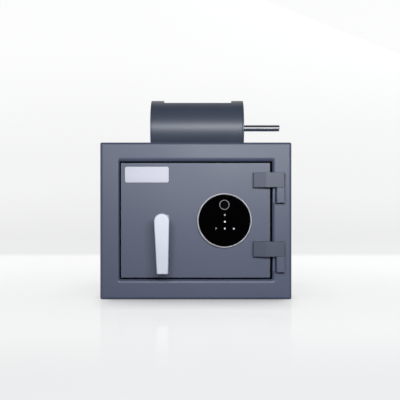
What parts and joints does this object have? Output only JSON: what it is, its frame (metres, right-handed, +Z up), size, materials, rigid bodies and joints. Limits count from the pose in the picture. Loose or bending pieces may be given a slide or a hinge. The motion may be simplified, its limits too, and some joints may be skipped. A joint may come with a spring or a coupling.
{
  "type": "drop safe with deposit drum",
  "caption": "Small steel safe with a round keypad and fingerprint lock, a hanging lever, outside hinges and a rotary deposit drum on its roof turned by a side rod.",
  "frame": {"origin": "middle of the base's underside, on the surface that the safe stands on", "axes": "+Z up, +Y towards the back panel, +X to the right as the door is seen"},
  "size_m": [0.35, 0.3495, 0.383],
  "materials": {
    "body_paint": "fine-textured satin dark blue-grey powder coat",
    "bare_steel": "machined steel",
    "sheet_steel": "zinc-plated sheet",
    "satin_alloy": "satin silver",
    "badge_alloy": "satin silver plate, bare",
    "chrome": "polished",
    "lock_glass": "gloss black",
    "sensor": "fine-grained black",
    "black_plastic": "moulded",
    "bronze": "sintered bearing bronze",
    "cell_wrap": "plain wrap"
  },
  "bodies": {
    "cabinet": {"side_plate_left": "body_paint", "side_plate_right": "body_paint", "roof_plate": "body_paint", "floor_plate": "body_paint", "back_panel": "body_paint", "front_frame": "body_paint", "door_rebate": "body_paint", "drop_baffle": "sheet_steel", "drum_housing": "body_paint", "housing_end_left": "body_paint", "housing_end_right": "body_paint", "drum_bearing_left": "bronze", "drum_bearing_right": "bronze", "hinge_knuckle_upper": "body_paint", "hinge_knuckle_lower": "body_paint", "hinge_pin_upper": "bare_steel", "hinge_pin_lower": "bare_steel"},
    "door": {"door_plate": "body_paint", "door_pan": "body_paint", "inner_cover": "body_paint", "hinge_leaf_upper": "body_paint", "hinge_leaf_lower": "body_paint", "badge_plate": "badge_alloy", "lock_bezel": "chrome", "lock_glass": "lock_glass", "sensor_ring": "chrome", "fingerprint_sensor": "sensor", "lock_housing": "black_plastic", "lock_harness": "black_plastic", "battery_holder": "black_plastic", "aa_cell_1": "cell_wrap", "aa_cell_2": "cell_wrap", "aa_cell_3": "cell_wrap", "aa_cell_4": "cell_wrap", "solenoid_body": "sheet_steel", "handle_bush": "bare_steel", "carrier_stud_upper": "bare_steel", "carrier_stud_lower": "bare_steel", "fixed_dog_upper": "bare_steel", "fixed_dog_lower": "bare_steel"},
    "handle": {"handle_lever": "satin_alloy", "handle_spindle": "bare_steel", "crank_arm": "sheet_steel", "crank_roller": "bare_steel", "crank_circlip": "bare_steel"},
    "bolts": {"bolt_carrier": "sheet_steel", "lock_bolt_upper": "bare_steel", "lock_bolt_middle": "bare_steel", "lock_bolt_lower": "bare_steel"},
    "plunger": {"solenoid_plunger": "bare_steel", "plunger_spring": "bare_steel"},
    "battery_lid": {"battery_cover": "black_plastic"},
    "drum": {"drum_shell": "body_paint", "drum_end_left": "body_paint", "drum_end_right": "body_paint", "drum_journal_left": "bare_steel", "drum_journal_right": "bare_steel", "drum_rod": "chrome", "rod_nut": "bare_steel"}
  },
  "joints": [
    {"name": "door_hinge", "type": "hinge", "parent": "cabinet", "child": "door", "pos_m": [0.1535, -0.1595, 0.1435], "axis": [0, 0, 1], "range_deg": [0, 170]},
    {"name": "handle_turn", "type": "hinge", "parent": "door", "child": "handle", "pos_m": [-0.06, -0.1495, 0.1445], "axis": [0, 1, 0], "range_deg": [0, 90]},
    {"name": "bolt_slide", "type": "slide", "parent": "door", "child": "bolts", "axis": [-1, 0, 0], "range_m": [0, 0.018]},
    {"name": "plunger_slide", "type": "slide", "parent": "door", "child": "plunger", "axis": [0, 0, 1], "range_m": [0, 0.006], "deforming": ["plunger_spring"]},
    {"name": "battery_cover_slide", "type": "slide", "parent": "door", "child": "battery_lid", "axis": [0, 0, 1], "range_m": [0, 0.053]},
    {"name": "drum_turn", "type": "hinge", "parent": "cabinet", "child": "drum", "pos_m": [0, 0, 0.325], "axis": [-1, 0, 0], "range_deg": [0, 200]}
  ],
  "couplings": [
    {"joint": "bolt_slide", "follows": "handle_turn", "m_per_rad": 0.011459}
  ]
}
